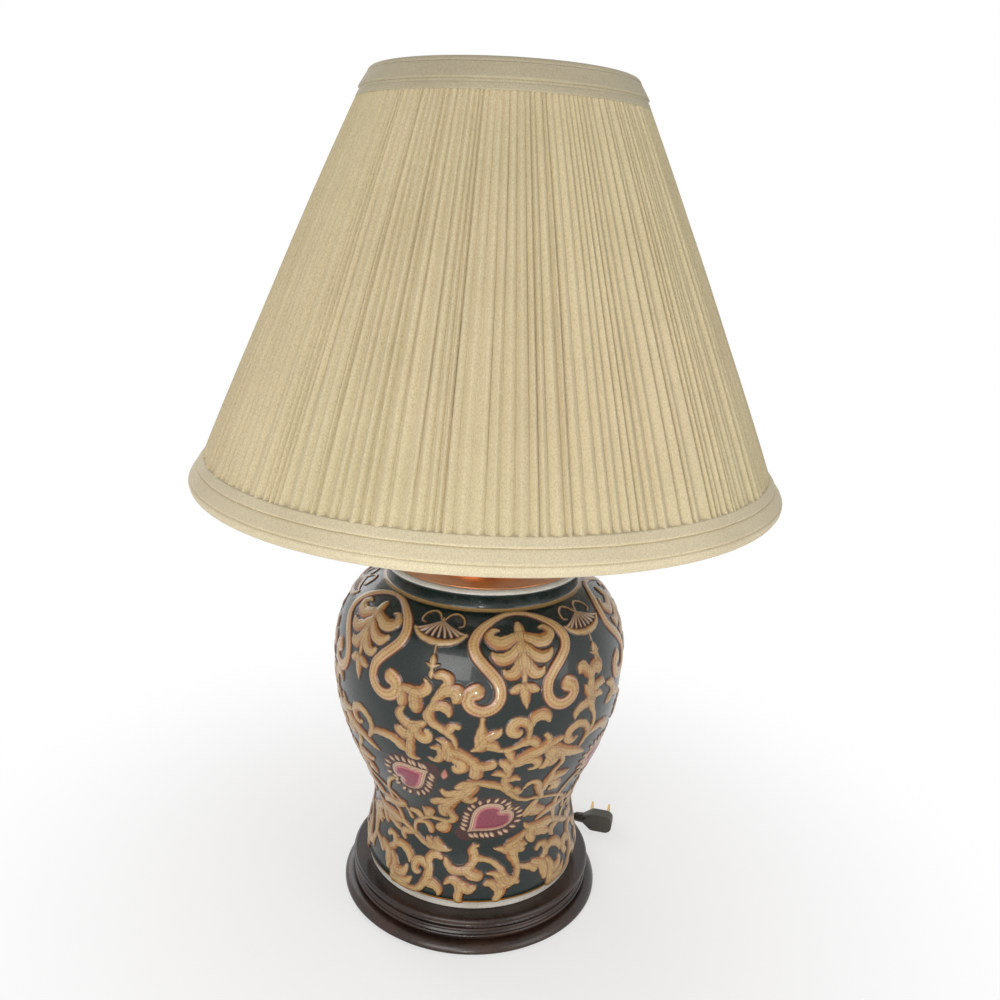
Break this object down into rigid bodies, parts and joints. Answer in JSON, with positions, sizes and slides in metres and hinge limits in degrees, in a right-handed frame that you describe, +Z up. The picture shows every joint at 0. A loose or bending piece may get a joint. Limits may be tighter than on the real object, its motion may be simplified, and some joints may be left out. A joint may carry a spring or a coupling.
{
  "type": "table lamp",
  "caption": "Table lamp with a glazed ceramic ginger jar body on a turned wooden base, a brass harp and a pleated cream empire shade.",
  "frame": {"origin": "centre of the underside of the base, on the surface that the lamp stands on", "axes": "+Z up along the threaded rod, -Y towards the front, +X to the right seen from the front; the lead leaves at +Y"},
  "size_m": [0.3558, 0.3809, 0.519],
  "materials": {
    "felt": "dark green felt",
    "dark_wood": "dark red-brown stain, satin",
    "steel": "zinc plated",
    "glazed_jar": "dark green-black gloss glaze with ochre relief",
    "copper_brass": "coppery brass, polished",
    "polished_brass": "polished",
    "socket_brass": "satin plated",
    "liner_card": "fibre card",
    "black_moulding": "moulded, matte",
    "screw_aluminium": "drawn, satin",
    "frosted_glass": "inside frosted",
    "frame_wire": "brass-plated wire",
    "shade_lining": "white styrene sheet, matte",
    "pleated_cloth": "cream pleated cloth",
    "trim_cloth": "cream bias band",
    "cord_jacket": "dark brown vinyl",
    "plug_moulding": "dark olive-brown vinyl",
    "blade_brass": "plain"
  },
  "bodies": {
    "root": {"felt_pad": "felt", "wood_base": "dark_wood", "base_washer": "steel", "base_nut": "steel", "ceramic_jar": "glazed_jar", "threaded_rod": "steel", "vase_cap": "copper_brass", "neck_spacer": "polished_brass", "harp_saddle": "polished_brass", "saddle_locknut": "polished_brass", "socket_cap": "socket_brass", "socket_shell": "socket_brass", "socket_liner": "liner_card", "socket_insulator": "black_moulding", "screw_shell": "screw_aluminium", "centre_contact": "socket_brass", "terminal_screw_left": "steel", "terminal_screw_right": "polished_brass", "inner_cord": "cord_jacket", "strain_relief": "cord_jacket", "cord_lead": "cord_jacket", "cord_coil": "cord_jacket", "cord_tail": "cord_jacket", "plug_body": "plug_moulding", "plug_blades": "blade_brass"},
    "knob": {"knob_shaft": "socket_brass", "switch_knob": "black_moulding"},
    "bulb": {"bulb_contact": "steel", "bulb_cap": "screw_aluminium", "bulb_glass": "frosted_glass"},
    "harp": {"harp": "polished_brass"},
    "ferrule_left": {"harp_ferrule_left": "polished_brass"},
    "ferrule_right": {"harp_ferrule_right": "polished_brass"},
    "stud": {"harp_stud": "polished_brass"},
    "shade": {"shade_spider": "frame_wire", "shade_bottom_ring": "frame_wire", "shade_lining": "shade_lining", "shade_pleats": "pleated_cloth", "shade_top_trim": "trim_cloth", "shade_bottom_trim": "trim_cloth"},
    "finial": {"finial": "polished_brass"}
  },
  "joints": [
    {"name": "knob_turn", "type": "hinge", "parent": "root", "child": "knob", "pos_m": [0, -0.03, 0.2885], "axis": [0, -1, 0], "continuous": true},
    {"name": "bulb_lift", "type": "slide", "parent": "root", "child": "bulb", "axis": [0, 0, 1], "range_m": [0, 0.026]},
    {"name": "harp_lift", "type": "slide", "parent": "root", "child": "harp", "axis": [0, 0, 1], "range_m": [0, 0.018]},
    {"name": "ferrule_left_slide", "type": "slide", "parent": "harp", "child": "ferrule_left", "axis": [0, 0, 1], "range_m": [0, 0.012]},
    {"name": "ferrule_right_slide", "type": "slide", "parent": "harp", "child": "ferrule_right", "axis": [0, 0, 1], "range_m": [0, 0.012]},
    {"name": "stud_swivel", "type": "hinge", "parent": "harp", "child": "stud", "pos_m": [0, 0, 0.5], "axis": [0, 0, 1], "continuous": true},
    {"name": "shade_lift", "type": "slide", "parent": "stud", "child": "shade", "axis": [0, 0, 1], "range_m": [0, 0.012]},
    {"name": "finial_lift", "type": "slide", "parent": "shade", "child": "finial", "axis": [0, 0, 1], "range_m": [0, 0.012]}
  ]
}
